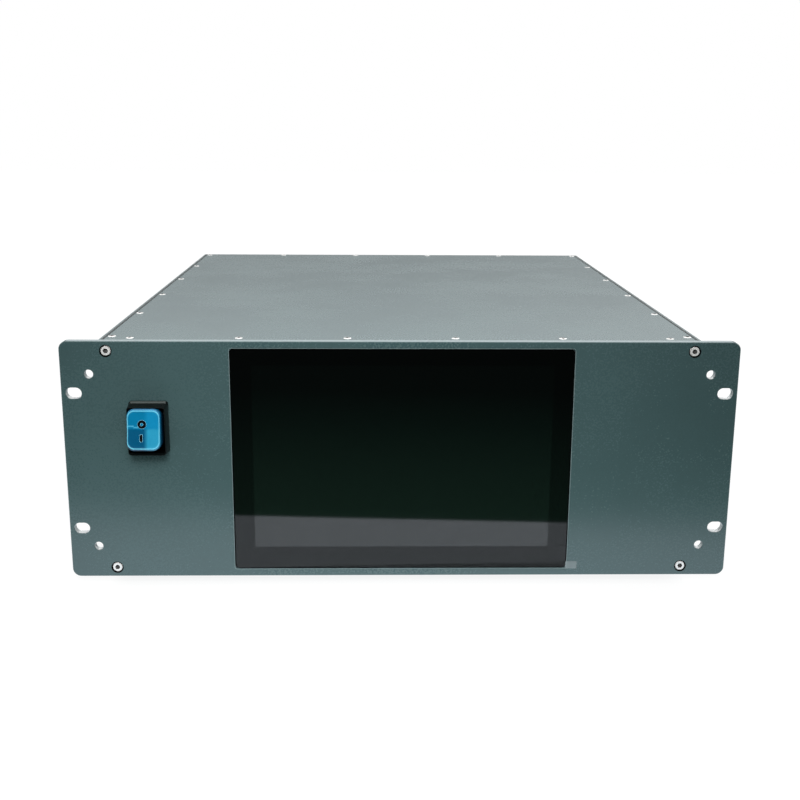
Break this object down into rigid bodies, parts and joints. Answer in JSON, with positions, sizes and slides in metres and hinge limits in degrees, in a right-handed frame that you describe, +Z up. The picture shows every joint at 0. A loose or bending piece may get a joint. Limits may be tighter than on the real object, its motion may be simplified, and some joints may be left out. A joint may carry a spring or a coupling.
{
  "type": "rack-mount hf linear amplifier",
  "caption": "Rack-mount HF linear power amplifier with a large flat display, a rocker power switch, a plain metal case, rear cooling fans and RF sockets.",
  "frame": {"origin": "on the floor under the middle of the unit's outer box, at the underside of the rubber feet", "axes": "+X to the right of someone facing the front panel, +Y from the front panel to the rear, +Z up"},
  "size_m": [0.4826, 0.5398, 0.1845],
  "materials": {
    "front_panel_coat": "satin grey-green coat on aluminium",
    "case_coat": "satin grey-green coat on aluminium",
    "bare_aluminium": "mill finish",
    "screw_nickel": "bright nickel plate",
    "zinc_steel": "zinc plate",
    "foot_rubber": "matt black",
    "display_glass": "smoked, polished",
    "film": "clear film",
    "lcd_black": "dark panel",
    "foam": "foam strip",
    "switch_black": "satin black",
    "rocker_blue": "translucent blue, gloss",
    "tinned_brass": "tin plate",
    "fan_plastic": "black",
    "connector_nickel": "nickel plate",
    "white_insulator": "white",
    "ground_brass": "plain",
    "board_green": "solder mask",
    "spacer_brass": "nickel plate",
    "copper": "machined copper",
    "ceramic": "ceramic and gold flange",
    "ferrite": "sintered ferrite",
    "ring_core": "coated powder core",
    "relay_black": "black case"
  },
  "bodies": {
    "chassis": {"front_panel": "front_panel_coat", "left_side_profile": "case_coat", "right_side_profile": "case_coat", "top_cover": "case_coat", "bottom_plate": "case_coat", "rear_panel": "case_coat", "front_cross_bars": "bare_aluminium", "rear_cross_bars": "bare_aluminium", "heatsink": "bare_aluminium", "display_tray": "bare_aluminium", "panel_corner_screws": "screw_nickel", "cover_screws": "screw_nickel", "bottom_screws": "screw_nickel", "fan_screws": "screw_nickel", "inlet_screws": "screw_nickel", "display_studs": "zinc_steel", "display_nuts": "zinc_steel", "ground_nut": "zinc_steel", "power_supply": "zinc_steel", "rubber_feet": "foot_rubber", "display_gasket": "foot_rubber", "display_glass": "display_glass", "protective_film": "film", "lcd_module": "lcd_black", "display_pads": "foam", "switch_housing": "switch_black", "mains_inlet": "switch_black", "switch_terminals": "tinned_brass", "inlet_prongs": "tinned_brass", "supply_lugs": "tinned_brass", "left_fan_frame": "fan_plastic", "right_fan_frame": "fan_plastic", "rf_sockets": "connector_nickel", "phono_jacks": "connector_nickel", "data_connector": "connector_nickel", "socket_insulators": "white_insulator", "ground_stud": "ground_brass", "display_driver_board": "board_green", "amplifier_board": "board_green", "filter_board": "board_green", "control_board": "board_green", "driver_board_spacers": "spacer_brass", "filter_board_spacers": "spacer_brass", "control_board_spacers": "spacer_brass", "copper_spreader": "copper", "power_transistor": "ceramic", "output_transformer": "ferrite", "input_transformer": "ferrite", "supply_choke": "ferrite", "filter_toroids": "ring_core", "filter_relays": "relay_black"},
    "rocker": {"switch_rocker": "rocker_blue"},
    "left_rotor": {"left_fan_rotor": "fan_plastic"},
    "right_rotor": {"right_fan_rotor": "fan_plastic"}
  },
  "joints": [
    {"name": "rocker_tilt", "type": "hinge", "parent": "chassis", "child": "rocker", "pos_m": [-0.18, -0.25309, 0.1225], "axis": [1, 0, 0], "range_deg": [0, 20]},
    {"name": "left_fan_spin", "type": "hinge", "parent": "chassis", "child": "left_rotor", "pos_m": [-0.082, 0.23541, 0.096], "axis": [0, 1, 0], "continuous": true},
    {"name": "right_fan_spin", "type": "hinge", "parent": "chassis", "child": "right_rotor", "pos_m": [0.044, 0.23541, 0.096], "axis": [0, 1, 0], "continuous": true}
  ]
}
